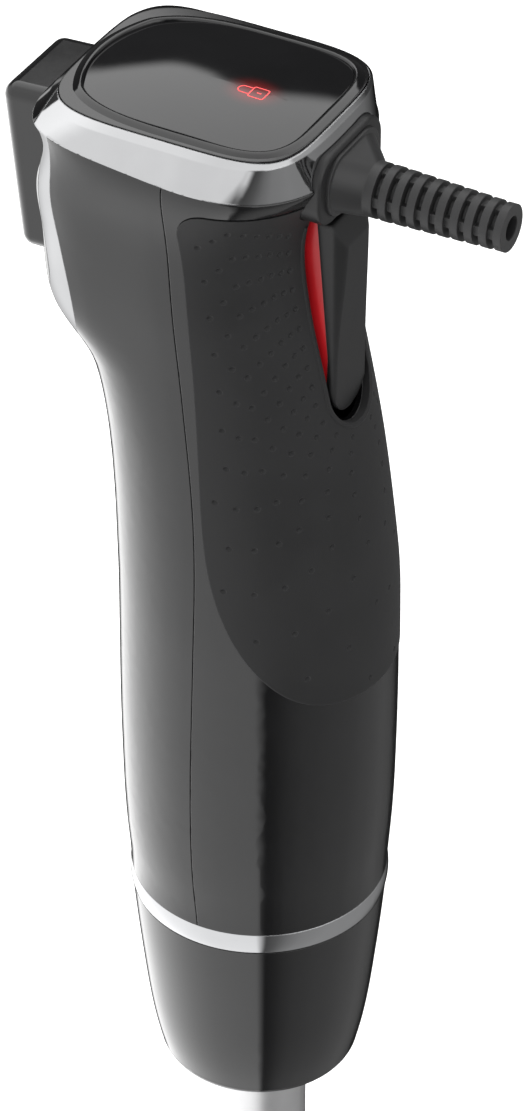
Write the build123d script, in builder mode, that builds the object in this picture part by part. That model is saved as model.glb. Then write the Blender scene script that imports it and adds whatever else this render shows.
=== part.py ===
from build123d import *
import os
from math import cos, pi, sin

os.makedirs("parts", exist_ok=True)

# Immersion blender in millimetres. The origin is at the centre of the blade guard's rim, +Z runs up the
# long axis to the head, and +X points to the side of the trigger and the cord. Heights named *_H and the
# heights in the station lists count from the seam between the motor housing and its chrome ring.
RING_Z = 214.0
REACH = 70.0

WALL = 2.6
TRIM_DEPTH = 1.5
GRIP_DEPTH = 1.4
GRIP_PROUD = 0.25
SEAM_GAP = 0.12
FIT = 0.03
RUNNING = 0.05

# Housing outlines: height, front x, rear x, widest x, half width, front power, rear power. A power of 2 is
# an ellipse, and a higher one is squarer.
OUTLINE_STEPS = 32
LOFT_LEVELS = 19
BODY_STATIONS = [
    (0, 28.5, -28.5, 0, 28.5, 2, 2),
    (25, 29.8, -29.8, 0, 29.8, 2, 2),
    (50, 30.1, -30.1, 0, 30.1, 2, 2),
    (75, 29.9, -30.0, 0, 30.0, 2, 2),
    (100, 27.7, -30.7, -1.5, 28.9, 2, 2),
    (117, 25.4, -31.6, -3.2, 27.8, 2, 2.1),
    (129, 23.2, -32.6, -5.0, 27.2, 2, 2.3),
    (138, 21.4, -34.0, -7.0, 27.0, 2, 2.6),
    (147, 19.3, -37.3, -9.0, 27.3, 2, 4.0),
    (157, 17.3, -38.9, -10.0, 28.0, 1.9, 5.4),
    (170, 16.0, -39.7, -10.0, 28.4, 1.9, 5.4),
    (180, 17.8, -40.4, -9.0, 29.1, 2.1, 5.2),
]
HEAD_TOP = (21.5, -41.2, -8.0, 30.0, 2.42, 4.9)
BEZEL_SHOULDER = (18.3, -39.7, -8.0, 25.6, 3.8, 4.4)
BEZEL_RIM = (17.0, -38.0, -8.0, 23.3, 4.45, 4.3)
LENS_OUTLINE = (14.7, -35.9, -6.0, 20.3, 4.5, 3.0)
BEZEL_PLANE = Plane.XY.offset(RING_Z + 190.1).rotated((0, 6, 0))
SHOULDER_H = 196.0
RIM_H = 197.3

# Seam between the front and the rear shell, as (x, height).
SEAM = [(0, 0), (-0.7, 25), (0.3, 70), (-0.1, 108), (-3.3, 138), (-5.2, 165), (-5.1, 205)]

# Soft grip, seen from the side: lower edge from the front to the back, then the rear edge going up.
GRIP_LOWER_EDGE = [(34, 61.5), (22.2, 65.0), (14.2, 73.5), (4.9, 92.6), (0.9, 120), (-1.6, 155), (-3.0, 179)]
GRIP_TOP_REAR, GRIP_TOP_FRONT = (3.0, 185.3), (34, 182.0)

# Trigger slot, cord exit and trigger lever.
SLOT_HALF_WIDTH = 8.3
SLOT_ROUND_H = 135.0
CORD_AXIS_H = 183.4
EXIT_MID_H = 185.9
EXIT_WIDTH, EXIT_HEIGHT, EXIT_CORNER = 27.0, 15.8, 6.0
FLANGE_WIDTH, FLANGE_HEIGHT, FLANGE_CORNER = 21.6, 13.4, 5.6
EXIT_FACE_X = 20.8
TRIGGER_HALF_WIDTH = 7.0
PIVOT_X, PIVOT_H = 15.5, 131.5
PIN_R = 1.2

# Rear pod and head interior.
POD_HALF_WIDTH = 12.0
POD_ROUND = 3.0
POD_WALL = 2.0

# Motor and drive line.
SHAFT_R = 4.0
DRIVE_R = 3.0
STATOR_R, STATOR_BORE_R, STATOR_INNER_R = 25.2, 15.0, 19.3
STACK_LOW_H, STACK_HIGH_H = 44.0, 66.0
ARMATURE_R = 14.5
BOLT_CIRCLE_R = 22.0
BOLT_R = 1.9
BOLT_ANGLES = (45, 225)

# Nose, arm and blade guard.
SOCKET_R, SOCKET_BORE_R, GROOVE_R = 25.4, 20.9, 23.5
COLLAR_R = 20.5
LUG_R = 23.1
LUG_HALF_ANGLE = 7.0
TWIST = 25.0
LUG_ANGLES = (0, 120, 240)
SCREW_ANGLES = (75, 195, 315)
SCREW_CIRCLE_R = 23.2
TUBE_R, TUBE_BORE_R = 10.6, 9.8
TUBE_LOW_Z, TUBE_HIGH_Z = 36.0, 192.0
GUARD_RIM_R = 31.0
GUARD_WALL = 1.2


def up(height):
    """Height in the part's frame of a place given from the ring seam."""
    return RING_Z + height


def outline_points(front, rear, widest, half_width, front_power, rear_power, grow):
    """Points of a closed outline made of two half superellipses that meet at their widest place."""
    points = []
    for step in range(OUTLINE_STEPS):
        across, along = sin(2 * pi * step / OUTLINE_STEPS), cos(2 * pi * step / OUTLINE_STEPS)
        reach = front - widest if along >= 0 else widest - rear
        power = front_power if along >= 0 else rear_power
        radius = (abs(along) ** power + abs(across) ** power) ** (-1 / power)
        points.append((widest + (reach + grow) * along * radius, (half_width + grow) * across * radius))
    return points


def limited_slope(low_step, low_rise, high_step, high_rise):
    """Slope at a station that keeps the curve through it from swinging past its neighbours."""
    low_slope, high_slope = low_rise / low_step, high_rise / high_step
    if low_slope * high_slope <= 0:
        return 0.0
    low_weight, high_weight = 2 * high_step + low_step, high_step + 2 * low_step
    return (low_weight + high_weight) / (low_weight / low_slope + high_weight / high_slope)


def station_slopes(index):
    """Change of each outline value per millimetre of height at one station."""
    here = BODY_STATIONS[index]
    if index in (0, len(BODY_STATIONS) - 1):
        other = BODY_STATIONS[1] if index == 0 else BODY_STATIONS[-2]
        return [(b - a) / (other[0] - here[0]) for a, b in zip(here[1:], other[1:])]
    below, above = BODY_STATIONS[index - 1], BODY_STATIONS[index + 1]
    steps = (here[0] - below[0], above[0] - here[0])
    rises = zip(below[1:], here[1:], above[1:])
    return [limited_slope(steps[0], b - a, steps[1], c - b) for a, b, c in rises]


def outline_at(height):
    """Housing outline at any height, on a smooth curve through the stations."""
    index = max(i for i in range(len(BODY_STATIONS) - 1) if BODY_STATIONS[i][0] <= height)
    low, high = BODY_STATIONS[index], BODY_STATIONS[index + 1]
    step = high[0] - low[0]
    share = (height - low[0]) / step
    ease = share * share * (3 - 2 * share)
    low_pull = step * share * (1 - share) ** 2
    high_pull = -step * share * share * (1 - share)
    slopes = zip(station_slopes(index), station_slopes(index + 1))
    pulls = [low_pull * a + high_pull * b for a, b in slopes]
    return [a + (b - a) * ease + pull for a, b, pull in zip(low[1:], high[1:], pulls)]


def outline_face(plane, outline, grow=0.0):
    with BuildSketch(plane) as face:
        with BuildLine():
            Spline(outline_points(*outline, grow), periodic=True)
        make_face()
    return face.sketch


def body_loft(grow):
    """Outer form of the motor housing, grown or shrunk all round."""
    sections = []
    for level in range(LOFT_LEVELS):
        height = BODY_STATIONS[-1][0] * level / (LOFT_LEVELS - 1)
        sections.append(outline_face(Plane.XY.offset(up(height)), outline_at(height), grow))
    sections.append(outline_face(BEZEL_PLANE, HEAD_TOP, grow))
    with BuildPart() as form:
        loft(sections)
    return form.part


def cut_outside(points, mode=Mode.INTERSECT, closed_by=None):
    """Keep, or remove, what lies inside a side view made of a spline and straight lines that close it."""
    with BuildSketch(Plane.XZ) as view:
        with BuildLine():
            edge = Spline([(x, up(h)) for x, h in points])
            Polyline(edge @ 1, *[(x, up(h)) for x, h in closed_by], edge @ 0)
        make_face()
    extrude(view.sketch, amount=REACH, both=True, mode=mode)


def ring(outer_r, inner_r, low_z, high_z):
    """Plain ring about the long axis."""
    with BuildSketch(Plane.XY.offset(low_z)) as face:
        Circle(outer_r)
        Circle(inner_r, mode=Mode.SUBTRACT)
    extrude(face.sketch, amount=high_z - low_z)


def disc(radius, low_z, high_z, mode=Mode.ADD):
    with BuildSketch(Plane.XY.offset(low_z)) as face:
        Circle(radius)
    extrude(face.sketch, amount=high_z - low_z, mode=mode)


def block(x_range, y_range, z_range, mode=Mode.ADD):
    """Box between two limits on each axis."""
    (x0, x1), (y0, y1), (z0, z1) = x_range, y_range, z_range
    with Locations(((x0 + x1) / 2, (y0 + y1) / 2, (z0 + z1) / 2)):
        Box(x1 - x0, y1 - y0, z1 - z0, mode=mode)


def sector(outer_r, inner_r, low_z, high_z, from_deg, to_deg, mode=Mode.ADD):
    """Part of a ring between two angles."""
    radial = Plane(origin=(0, 0, 0), x_dir=(cos(from_deg * pi / 180), sin(from_deg * pi / 180), 0),
                   z_dir=(sin(from_deg * pi / 180), -cos(from_deg * pi / 180), 0))
    with BuildSketch(radial) as face:
        with Locations(((outer_r + inner_r) / 2, (low_z + high_z) / 2)):
            Rectangle(outer_r - inner_r, high_z - low_z)
    revolve(face.sketch, axis=Axis.Z, revolution_arc=to_deg - from_deg, mode=mode)


def revolved(points, mode=Mode.ADD):
    """Solid of revolution about the long axis from (radius, z) corners."""
    with BuildSketch(Plane.XZ) as face:
        with BuildLine():
            Polyline(*points, close=True)
        make_face()
    revolve(face.sketch, axis=Axis.Z, mode=mode)


def exit_opening(clear, mode=Mode.SUBTRACT, from_x=12.0, to_x=45.0):
    """Rounded opening in the front of the head that the cord exit collar fills."""
    with BuildSketch(Plane.YZ.offset(from_x)) as face:
        with Locations((0, up(EXIT_MID_H))):
            RectangleRounded(EXIT_WIDTH + 2 * clear, EXIT_HEIGHT + 2 * clear, EXIT_CORNER)
    extrude(face.sketch, amount=to_x - from_x, mode=mode)


def trigger_slot(mode=Mode.SUBTRACT):
    """Opening with a round lower end that the trigger moves in."""
    top_h = EXIT_MID_H - EXIT_HEIGHT / 2 + 0.5
    with BuildSketch(Plane.YZ.offset(8)) as face:
        with Locations((0, up(SLOT_ROUND_H))):
            Circle(SLOT_HALF_WIDTH)
        with Locations((0, up((SLOT_ROUND_H + top_h) / 2))):
            Rectangle(2 * SLOT_HALF_WIDTH, top_h - SLOT_ROUND_H)
    extrude(face.sketch, amount=40, mode=mode)


# ---- Housing ------------------------------------------------------------------------------------------
envelope = body_loft(0)
hollow = body_loft(-WALL)
trim_floor = body_loft(-TRIM_DEPTH)
grip_floor = body_loft(-GRIP_DEPTH)
grip_surface = body_loft(GRIP_PROUD)

LOOP_INNER_EDGE = [(-60, 137.5), (-33, 139), (-28.8, 146), (-28.4, 155), (-30.9, 169), (-32.4, 184)]
LOOP_OUTER_EDGE = [(-36.8, 199), (-36.6, 184), (-35.3, 166), (-34.6, 157), (-36.5, 152.6), (-60, 152)]
HOOD_EDGE = [(x - 0.1, h + 0.1) for x, h in LOOP_OUTER_EDGE]


def grip_region(mode=Mode.INTERSECT):
    """Side view of the soft grip, with a rounded corner at its rear top end."""
    with BuildSketch(Plane.XZ) as view:
        with BuildLine():
            edge = Spline([(x, up(h)) for x, h in GRIP_LOWER_EDGE])
            corner = TangentArc(edge @ 1, (GRIP_TOP_REAR[0], up(GRIP_TOP_REAR[1])), tangent=edge % 1)
            Polyline(corner @ 1, (GRIP_TOP_FRONT[0], up(GRIP_TOP_FRONT[1])), edge @ 0)
        make_face()
    extrude(view.sketch, amount=REACH, both=True, mode=mode)


def loop_region(mode=Mode.INTERSECT):
    """Side view of the chrome band that runs down the rear corners of the head and round under the pod."""
    with BuildSketch(Plane.XZ) as view:
        with BuildLine():
            inner = Spline([(x, up(h)) for x, h in LOOP_INNER_EDGE])
            outer = Spline([(x, up(h)) for x, h in LOOP_OUTER_EDGE])
            Polyline(inner @ 1, (-32.4, up(199)), outer @ 0)
            Line(outer @ 1, inner @ 0)
        make_face()
    extrude(view.sketch, amount=REACH, both=True, mode=mode)


with BuildPart() as grip_pocket:
    add(grip_surface)
    add(grip_floor, mode=Mode.SUBTRACT)
    grip_region()

with BuildPart() as loop_pocket:
    add(envelope)
    add(trim_floor, mode=Mode.SUBTRACT)
    loop_region()

FLANGE_LOW_H, FLANGE_HIGH_H, FLANGE_INNER_R = 10.3, 13.0, 19.0
EAR_IN_Y, EAR_OUT_Y = SLOT_HALF_WIDTH + 0.3, SLOT_HALF_WIDTH + 3.3
EAR_FRONT_X = 18.4
SCREW_R = 1.25


def round_bars(radius, circle_r, angles, low_z, high_z, mode=Mode.ADD):
    """Upright round bars, or holes, on a circle about the long axis."""
    with BuildSketch(Plane.XY.offset(low_z)) as face:
        for angle in angles:
            with PolarLocations(circle_r, 1, start_angle=angle):
                Circle(radius)
    extrude(face.sketch, amount=high_z - low_z, mode=mode)


def shell_foot():
    """Inner flange at the foot of the housing, with a pilot hole for each socket screw."""
    ring(27.0, FLANGE_INNER_R, up(FLANGE_LOW_H), up(FLANGE_HIGH_H))
    pilot_r = SCREW_R + FIT
    round_bars(pilot_r, SCREW_CIRCLE_R, SCREW_ANGLES, up(FLANGE_LOW_H), up(FLANGE_HIGH_H), Mode.SUBTRACT)


with BuildPart() as front_shell:
    add(envelope)
    add(hollow, mode=Mode.SUBTRACT)
    shell_foot()
    for side in (1, -1):
        ear_y = sorted((side * EAR_IN_Y, side * EAR_OUT_Y))
        block((PIVOT_X - 3.2, EAR_FRONT_X), ear_y, (up(PIVOT_H - 3.4), up(PIVOT_H + 3.4)))
    cut_outside([(x + SEAM_GAP, h) for x, h in SEAM], closed_by=[(60, 205), (60, 0)])
    add(grip_pocket.part, mode=Mode.SUBTRACT)
    trigger_slot()
    exit_opening(0.1)
    with BuildSketch(Plane.XZ.offset(-20)):
        with Locations((PIVOT_X, up(PIVOT_H))):
            Circle(PIN_R + FIT)
    extrude(amount=40, mode=Mode.SUBTRACT)

with BuildPart() as rear_shell:
    add(envelope)
    add(hollow, mode=Mode.SUBTRACT)
    shell_foot()
    cut_outside([(x - SEAM_GAP, h) for x, h in SEAM], closed_by=[(-60, 205), (-60, 0)])
    add(loop_pocket.part, mode=Mode.SUBTRACT)
    cut_outside(LOOP_OUTER_EDGE, mode=Mode.SUBTRACT, closed_by=[(-60, 199)])

with BuildPart() as grip_overmould:
    add(grip_pocket.part)
    trigger_slot()
    exit_opening(0.1)

with BuildPart() as head_cap:
    bottom = outline_face(BEZEL_PLANE, HEAD_TOP)
    shoulder = outline_face(Plane.XY.offset(up(SHOULDER_H)), BEZEL_SHOULDER)
    rim = outline_face(Plane.XY.offset(up(RIM_H)), BEZEL_RIM)
    loft([bottom, shoulder, rim], ruled=True)
    extrude(outline_face(Plane.XY.offset(up(RIM_H - 15)), BEZEL_RIM, 0.35), amount=20, mode=Mode.SUBTRACT)

with BuildPart() as chrome_bezel:
    add(head_cap.part)
    add(loop_pocket.part)
    cut_outside(LOOP_OUTER_EDGE, mode=Mode.SUBTRACT, closed_by=[(-60, 205), (-36.8, 205)])
    exit_opening(0.1)

with BuildPart() as hood_cap:
    add(head_cap.part)
    cut_outside(HOOD_EDGE, closed_by=[(-60, 205), (-36.9, 205)])

with BuildPart() as rear_hood:
    add(envelope)
    add(hollow, mode=Mode.SUBTRACT)
    cut_outside(HOOD_EDGE, closed_by=[(-60, 205), (-36.9, 205)])
    add(hood_cap.part)

with BuildPart() as top_frame:
    extrude(outline_face(Plane.XY.offset(up(RIM_H - 2.7)), BEZEL_RIM, 0.2), amount=2.7)
    extrude(outline_face(Plane.XY.offset(up(RIM_H - 1.6)), LENS_OUTLINE, 0.15), amount=2, mode=Mode.SUBTRACT)
    extrude(outline_face(Plane.XY.offset(up(RIM_H - 4)), LENS_OUTLINE, -2.5), amount=4, mode=Mode.SUBTRACT)

LENS_DOME_R = 300.0
LENS_HIGH_H = 198.5
with BuildPart() as display_lens:
    extrude(outline_face(Plane.XY.offset(up(RIM_H - 1.6)), LENS_OUTLINE), amount=3)
    with Locations((-8, 0, up(LENS_HIGH_H) - LENS_DOME_R)):
        Sphere(LENS_DOME_R, mode=Mode.INTERSECT)

# Side views of the pod, whose front lies along the rear face of the hood, and of the hollow in it.
POD_SIDE = [(-38.75, 153.0), (-41.45, 191.3), (-53.6, 190.6), (-49.8, 152.6)]
POD_HOLLOW = [(-41.2, 155.0), (-43.6, 189.0), (-51.3, 188.6), (-47.9, 154.7)]
POD_VENTS = 5

with BuildPart() as rear_pod:
    with BuildSketch(Plane.XZ):
        with BuildLine():
            Polyline(*[(x, up(h)) for x, h in POD_SIDE], close=True)
        make_face()
    extrude(amount=POD_HALF_WIDTH, both=True)
    fillet(edges().sort_by(Axis.X)[:8], POD_ROUND)
    with BuildSketch(Plane.XZ):
        with BuildLine():
            Polyline(*[(x, up(h)) for x, h in POD_HOLLOW], close=True)
        make_face()
    extrude(amount=POD_HALF_WIDTH - POD_WALL, both=True, mode=Mode.SUBTRACT)
    with BuildSketch(Plane.XY.offset(up(150))):
        with Locations((-43.4, 0)):
            with GridLocations(0, 3.6, 1, POD_VENTS):
                SlotOverall(5.0, 1.6)
    extrude(amount=8, mode=Mode.SUBTRACT)

with BuildPart() as cord_exit_collar:
    exit_opening(0, mode=Mode.ADD, from_x=14.6, to_x=EXIT_FACE_X)
    with BuildSketch(Plane.YZ.offset(16.4)):
        with Locations((0, up(EXIT_MID_H))):
            RectangleRounded(FLANGE_WIDTH + 0.1, FLANGE_HEIGHT + 0.1, FLANGE_CORNER)
    extrude(amount=10, mode=Mode.SUBTRACT)
    with BuildSketch(Plane.YZ.offset(14)):
        with Locations((0, up(CORD_AXIS_H))):
            Circle(3.4)
    extrude(amount=5, mode=Mode.SUBTRACT)
    fillet(faces().sort_by(Axis.X)[-1].outer_wire().edges(), 0.8)

BOOT_R, BOOT_TIP_R, BOOT_BORE_R = 5.8, 5.0, 2.6
BOOT_ROOT_X, BOOT_TIP_X = 28.2, 56.4
BOOT_RINGS = 9
BOOT_GAP = 1.4
with BuildPart() as strain_relief:
    with BuildSketch(Plane.YZ.offset(16.5)):
        with Locations((0, up(EXIT_MID_H))):
            RectangleRounded(FLANGE_WIDTH, FLANGE_HEIGHT, FLANGE_CORNER)
    extrude(amount=5.0)
    with BuildSketch(Plane.YZ.offset(21.5)):
        with Locations((0, up(EXIT_MID_H - 0.2))):
            RectangleRounded(FLANGE_WIDTH - 1.6, FLANGE_HEIGHT - 1.2, FLANGE_CORNER)
    with BuildSketch(Plane.YZ.offset(BOOT_ROOT_X - 2)):
        with Locations((0, up(CORD_AXIS_H))):
            RectangleRounded(2 * BOOT_R, 2 * BOOT_R, BOOT_R - 0.05)
    loft()
    pitch = (BOOT_TIP_X - BOOT_ROOT_X) / BOOT_RINGS
    with BuildSketch(Plane.YZ.offset(BOOT_ROOT_X - 2)):
        with Locations((0, up(CORD_AXIS_H))):
            Circle(BOOT_R)
    extrude(amount=2)
    for turn in range(BOOT_RINGS):
        ring_r = BOOT_R + (BOOT_TIP_R - BOOT_R) * turn / (BOOT_RINGS - 1)
        gap_x = BOOT_ROOT_X + pitch * turn
        with BuildSketch(Plane.YZ.offset(gap_x)):
            with Locations((0, up(CORD_AXIS_H))):
                Circle(ring_r - 2.0)
                Rectangle(2 * (ring_r - 0.9), 2.2)
                Rectangle(2.2, 2 * (ring_r - 0.9))
        extrude(amount=BOOT_GAP)
        with BuildSketch(Plane.YZ.offset(gap_x + BOOT_GAP)):
            with Locations((0, up(CORD_AXIS_H))):
                Circle(ring_r)
        extrude(amount=pitch - BOOT_GAP)
    with BuildSketch(Plane.YZ.offset(10)):
        with Locations((0, up(CORD_AXIS_H))):
            Circle(BOOT_BORE_R)
    extrude(amount=60, mode=Mode.SUBTRACT)

with BuildPart() as cord_clamp:
    block((4.0, 12.0), (-9.0, 9.0), (up(179.0), up(181.0)))
    block((4.0, 12.0), (-9.0, -5.0), (up(181.0), up(187.0)))
    block((4.0, 12.0), (5.0, 9.0), (up(181.0), up(187.0)))

# ---- Trigger and switch -------------------------------------------------------------------------------
TRIGGER_LOW_H, TRIGGER_TOP_H = 129.0, 176.4
CAP_FRONT = [(21.2, 129), (21.3, 138), (21.6, 150), (22.4, 163), (22.7, 171)]
CAP_BACK = [(19.2, 129), (19.6, 144), (17.0, 176.4)]
LEVER_BACK = [(9.0, 176.0), (9.0, 158), (10.0, 145), (12.6, 135), (12.6, 129.2), (19.2, 129.2)]


def trigger_outline(half_width, mode=Mode.INTERSECT):
    """Front view of the trigger, with a round lower end."""
    with BuildSketch(Plane.YZ) as view:
        with Locations((0, up(TRIGGER_LOW_H + half_width))):
            Circle(half_width)
        with Locations((0, up((TRIGGER_LOW_H + half_width + TRIGGER_TOP_H) / 2))):
            Rectangle(2 * half_width, TRIGGER_TOP_H - TRIGGER_LOW_H - half_width)
    extrude(view.sketch, amount=REACH, mode=mode)


with BuildPart() as trigger_cap:
    with BuildSketch(Plane.XZ):
        with BuildLine():
            face_edge = Spline([(x, up(h)) for x, h in CAP_FRONT])
            back_edge = Polyline(*[(x, up(h)) for x, h in CAP_BACK])
            Polyline(face_edge @ 1, (20.2, up(TRIGGER_TOP_H)), back_edge @ 1)
            Line(back_edge @ 0, face_edge @ 0)
        make_face()
    extrude(amount=TRIGGER_HALF_WIDTH, both=True)
    trigger_outline(TRIGGER_HALF_WIDTH)
    for side in (1, -1):
        bevel = [(20.4, side * 9), (20.4, side * 7.4), (23.6, side * 3.4), (26, side * 3.4), (26, side * 9)]
        with BuildSketch(Plane.XY.offset(up(120))):
            with BuildLine():
                Polyline(*bevel, close=True)
            make_face()
        extrude(amount=60, mode=Mode.SUBTRACT)

with BuildPart() as trigger_lever:
    with BuildSketch(Plane.XZ):
        with BuildLine():
            back_edge = Polyline(*[(x, up(h)) for x, h in CAP_BACK])
            Polyline(back_edge @ 1, *[(x, up(h)) for x, h in LEVER_BACK], back_edge @ 0)
        make_face()
    extrude(amount=TRIGGER_HALF_WIDTH - 0.15, both=True)
    trigger_outline(TRIGGER_HALF_WIDTH - 0.15)
    with BuildSketch(Plane.XZ.offset(-20)):
        with Locations((PIVOT_X, up(PIVOT_H))):
            Circle(PIN_R + RUNNING)
    extrude(amount=40, mode=Mode.SUBTRACT)

with BuildPart() as trigger_pin:
    with BuildSketch(Plane.XZ.offset(-EAR_OUT_Y)):
        with Locations((PIVOT_X, up(PIVOT_H))):
            Circle(PIN_R)
    extrude(amount=2 * EAR_OUT_Y)

SWITCH_FACE_X = 2.0
PLUNGER_R, PLUNGER_H = 2.0, 165.0
with BuildPart() as switch_body:
    block((-10.0, SWITCH_FACE_X), (-7.0, 7.0), (up(143.0), up(173.0)))
    with BuildSketch(Plane.YZ.offset(-7)):
        with Locations((0, up(PLUNGER_H))):
            Circle(PLUNGER_R + RUNNING)
    extrude(amount=12, mode=Mode.SUBTRACT)
    block((SWITCH_FACE_X - 1, SWITCH_FACE_X + 1), (-5.0, 5.0), (up(155.0), up(156.0)), mode=Mode.SUBTRACT)

with BuildPart() as switch_plunger:
    with BuildSketch(Plane.YZ.offset(-2.0)):
        with Locations((0, up(PLUNGER_H))):
            Circle(PLUNGER_R)
    extrude(amount=10.6)
    fillet(faces().sort_by(Axis.X)[-1].edges(), 0.6)

SPRING_R, SPRING_WIRE_R, SPRING_H = 3.0, 0.4, 149.0
SPRING_FROM_X, SPRING_LENGTH, SPRING_TURNS = 2.5, 6.4, 5
with BuildPart() as return_spring:
    with BuildLine():
        start = (SPRING_FROM_X, 0, up(SPRING_H))
        coil = Helix(SPRING_LENGTH / SPRING_TURNS, SPRING_LENGTH, SPRING_R, center=start, direction=(1, 0, 0))
    with BuildSketch(Plane(origin=coil @ 0, z_dir=coil % 0)):
        Circle(SPRING_WIRE_R)
    sweep(path=coil)

# ---- Head electronics ---------------------------------------------------------------------------------
with BuildPart() as lock_light_board:
    block((-27.0, 9.0), (-15.0, 15.0), (up(191.2), up(192.8)))
    with GridLocations(28, 22, 2, 2):
        with Locations((-9, 0, up(192))):
            Cylinder(1.6, 4, mode=Mode.SUBTRACT)

with BuildPart() as light_guide:
    block((-6.0, 4.6), (-3.6, 3.6), (up(192.8), up(195.6)))

with BuildPart() as control_board:
    block((-34.0, -32.4), (-17.0, 17.0), (up(158.0), up(187.0)))

with BuildPart() as heat_sink:
    block((-32.4, -30.4), (-9.0, 9.0), (up(160.0), up(176.0)))
    for fin in range(5):
        fin_y = -8.2 + 4.1 * fin
        block((-30.4, -24.0), (fin_y - 0.7, fin_y + 0.7), (up(160.0), up(176.0)))

with BuildPart() as capacitor:
    with BuildSketch(Plane.YZ.offset(-32.4)):
        with Locations((12.5, up(181.0))):
            Circle(4.0)
    extrude(amount=14)
    fillet(faces().sort_by(Axis.X)[-1].edges(), 0.6)

# ---- Motor --------------------------------------------------------------------------------------------
def bolt_holes(low_z, high_z):
    round_bars(BOLT_R + FIT, BOLT_CIRCLE_R, BOLT_ANGLES, low_z, high_z, Mode.SUBTRACT)


with BuildPart() as stator_core:
    ring(STATOR_R, STATOR_INNER_R, up(STACK_LOW_H), up(STACK_HIGH_H))
    for start in (-48, 132):
        sector(16.6, STATOR_BORE_R, up(STACK_LOW_H), up(STACK_HIGH_H), start, start + 96)
    for side in (1, -1):
        neck_x = sorted((side * 15.6, side * 20.5))
        block(neck_x, (-6.5, 6.5), (up(STACK_LOW_H), up(STACK_HIGH_H)))
    bolt_holes(up(STACK_LOW_H), up(STACK_HIGH_H))


def field_coil(start):
    """Coil that lies in the ring gap and goes round one pole neck."""
    with BuildPart() as coil_form:
        sector(19.1, 16.8, up(STACK_LOW_H - 6), up(STACK_HIGH_H + 6), start - 46, start + 46)
        inner_x = sorted((cos(start * pi / 180) * 14, cos(start * pi / 180) * 21))
        block(inner_x, (-6.8, 6.8), (up(STACK_LOW_H - 0.2), up(STACK_HIGH_H + 0.2)), mode=Mode.SUBTRACT)
    return coil_form


field_coil_front = field_coil(0)
field_coil_rear = field_coil(180)

with BuildPart() as lower_bracket:
    ring(25.6, 4.6, up(20), up(23))
    ring(10.2, 8.0 + FIT, up(14), up(20))
    bolt_holes(up(20), up(23))
    with BuildSketch(Plane.XY.offset(up(20))):
        with PolarLocations(17.5, 6, start_angle=15):
            SlotOverall(11.0, 4.5, rotation=90)
    extrude(amount=3, mode=Mode.SUBTRACT)

with BuildPart() as lower_bearing:
    ring(8.0, SHAFT_R + FIT, up(14.4), up(19.8))

with BuildPart() as upper_bracket:
    ring(24.6, 4.6, up(92), up(95))
    ring(9.2, 7.0 + FIT, up(95), up(101.5))
    bolt_holes(up(92), up(95))
    with BuildSketch(Plane.XY.offset(up(92))):
        with PolarLocations(16.5, 6, start_angle=15):
            SlotOverall(10.0, 4.5, rotation=90)
    extrude(amount=3, mode=Mode.SUBTRACT)

with BuildPart() as upper_bearing:
    ring(7.0, SHAFT_R + FIT, up(95.2), up(100.6))

with BuildPart() as motor_bolts:
    round_bars(3.2, BOLT_CIRCLE_R, BOLT_ANGLES, up(17.6), up(20))
    round_bars(BOLT_R, BOLT_CIRCLE_R, BOLT_ANGLES, up(20), up(98))
    round_bars(2.5, BOLT_CIRCLE_R, BOLT_ANGLES, up(95.5), up(97.4))

with BuildPart() as lower_mount:
    ring(26.6, 25.6 + FIT, up(19.5), up(23.5))

with BuildPart() as upper_mount:
    ring(25.5, 24.6 + FIT, up(91.5), up(95.5))


def brush_parts(side):
    """Brush holder and carbon brush on one side of the commutator."""
    with BuildPart() as holder:
        block((-4.2, 4.2), sorted((side * 12.0, side * 22.5)), (up(80), up(92)))
        block((-2.6, 2.6), sorted((side * 11.0, side * 21.5)), (up(81.9), up(88.1)), mode=Mode.SUBTRACT)
    with BuildPart() as brush:
        block((-2.5, 2.5), sorted((side * 9.9, side * 21.0)), (up(82), up(88)))
    return holder, brush


brush_holder_left, brush_left = brush_parts(1)
brush_holder_right, brush_right = brush_parts(-1)

SHAFT_LOW_H, SHAFT_HIGH_H = 2.0, 101.0
with BuildPart() as motor_shaft:
    disc(SHAFT_R, up(SHAFT_LOW_H), up(SHAFT_HIGH_H))
    chamfer(edges().filter_by(GeomType.CIRCLE), 0.5)

ARMATURE_SLOTS = 12
with BuildPart() as armature_core:
    ring(ARMATURE_R, SHAFT_R + FIT, up(STACK_LOW_H), up(STACK_HIGH_H))
    with BuildSketch(Plane.XY.offset(up(STACK_LOW_H))):
        with PolarLocations(11.6, ARMATURE_SLOTS):
            Rectangle(4.4, 2.4)
        with PolarLocations(14.0, ARMATURE_SLOTS):
            Rectangle(1.6, 0.9)
    extrude(amount=STACK_HIGH_H - STACK_LOW_H, mode=Mode.SUBTRACT)

with BuildPart() as armature_windings:
    ring(13.4, SHAFT_R + 1.0, up(STACK_LOW_H - 6.2), up(STACK_LOW_H - 0.2))
    ring(13.4, SHAFT_R + 1.0, up(STACK_HIGH_H + 0.2), up(STACK_HIGH_H + 6.2))
    fillet(edges().filter_by(GeomType.CIRCLE).group_by(Axis.Z)[0], 1.5)
    fillet(edges().filter_by(GeomType.CIRCLE).group_by(Axis.Z)[-1], 1.5)
    with BuildSketch(Plane.XY.offset(up(STACK_LOW_H - 0.4))):
        with PolarLocations(11.6, ARMATURE_SLOTS):
            Rectangle(3.6, 1.8)
    extrude(amount=STACK_HIGH_H - STACK_LOW_H + 0.8)

with BuildPart() as commutator:
    ring(9.6, SHAFT_R + FIT, up(78), up(90))
    with BuildSketch(Plane.XY.offset(up(78))):
        with PolarLocations(9.6, 2 * ARMATURE_SLOTS):
            Rectangle(1.6, 0.5)
    extrude(amount=12, mode=Mode.SUBTRACT)

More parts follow.
